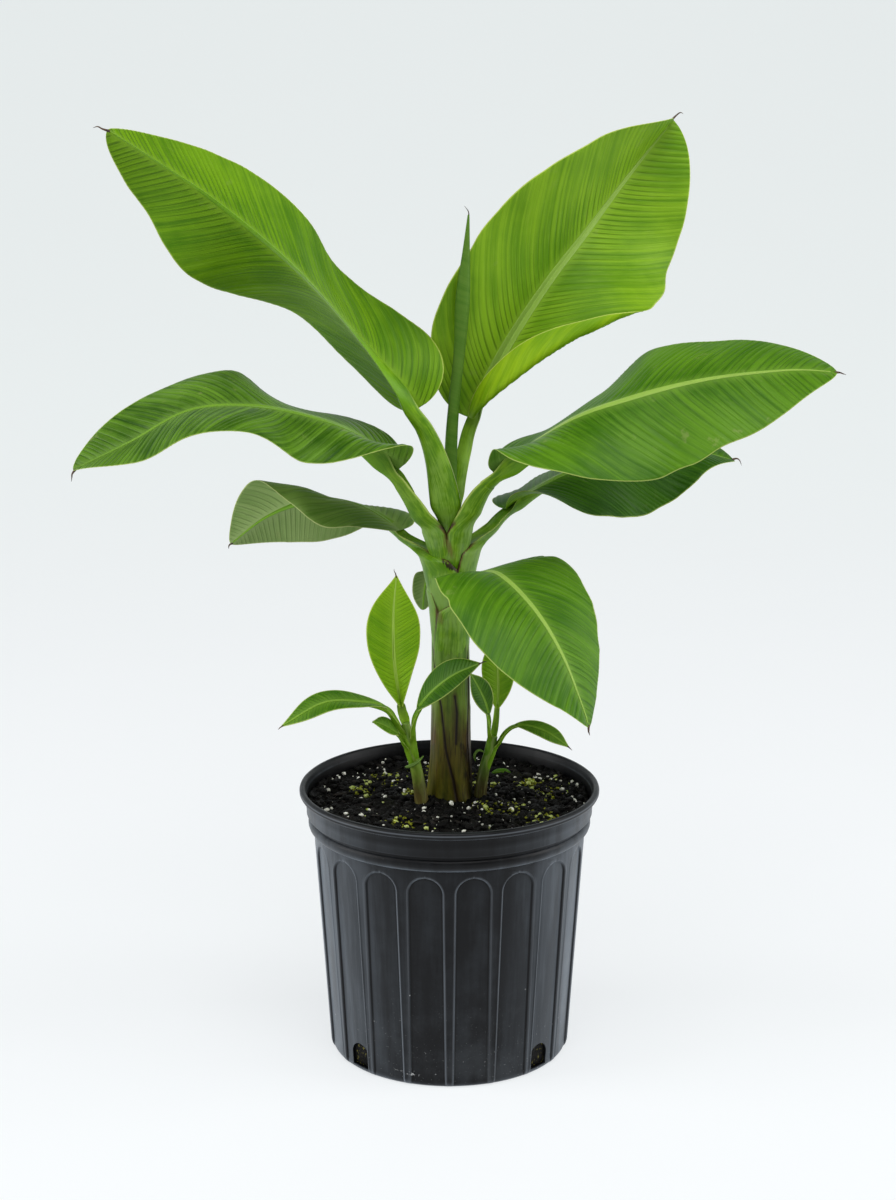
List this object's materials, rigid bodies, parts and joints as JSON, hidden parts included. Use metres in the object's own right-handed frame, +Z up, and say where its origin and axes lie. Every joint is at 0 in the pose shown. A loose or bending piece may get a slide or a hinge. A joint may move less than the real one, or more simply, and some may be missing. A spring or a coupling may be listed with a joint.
{
  "type": "potted banana plant",
  "caption": "Young banana plant with broad arching leaves and small suckers, in a round ribbed black nursery pot filled with soil.",
  "frame": {"origin": "centre of the pot's flat underside", "axes": "+Z up along the pot's axis and the stem; the front of the plant looks towards -Y; +X to the right of the front"},
  "size_m": [0.6659, 0.3807, 0.8643],
  "materials": {
    "pot": "matt black polyethylene with a faint sheen",
    "soil": "rough dark potting mix with white grains",
    "pseudostem": "satin, olive green streaked with brown",
    "leafstalk": "satin green",
    "leaf": "satin green with fine cross veins",
    "sucker_leaf": "satin bright green"
  },
  "bodies": {
    "root": {"pseudostem": "pseudostem", "rolled_leaf": "leafstalk", "sucker_left_stem": "leafstalk", "sucker_right_stem": "leafstalk", "leafstalk_upper_left": "leafstalk", "leafstalk_upper_right": "leafstalk", "leafstalk_right": "leafstalk", "leafstalk_lower_right": "leafstalk", "leafstalk_front_right": "leafstalk", "leafstalk_middle_left": "leafstalk", "leafstalk_lower_left": "leafstalk", "leafstalk_old_back": "leafstalk", "leaf_upper_left": "leaf", "leaf_upper_right": "leaf", "leaf_right": "leaf", "leaf_lower_right": "leaf", "leaf_front_right": "leaf", "leaf_middle_left": "leaf", "leaf_lower_left": "leaf", "leaf_old_back": "leaf", "sucker_left_leaf_upright": "sucker_leaf", "sucker_left_leaf_arching": "sucker_leaf", "sucker_left_leaf_small": "sucker_leaf", "sucker_left_leaf_inner": "sucker_leaf", "sucker_right_leaf_upright": "sucker_leaf", "sucker_right_leaf_inner": "sucker_leaf", "sucker_right_leaf_outer": "sucker_leaf", "soil": "soil", "pot": "pot"}
  },
  "joints": []
}
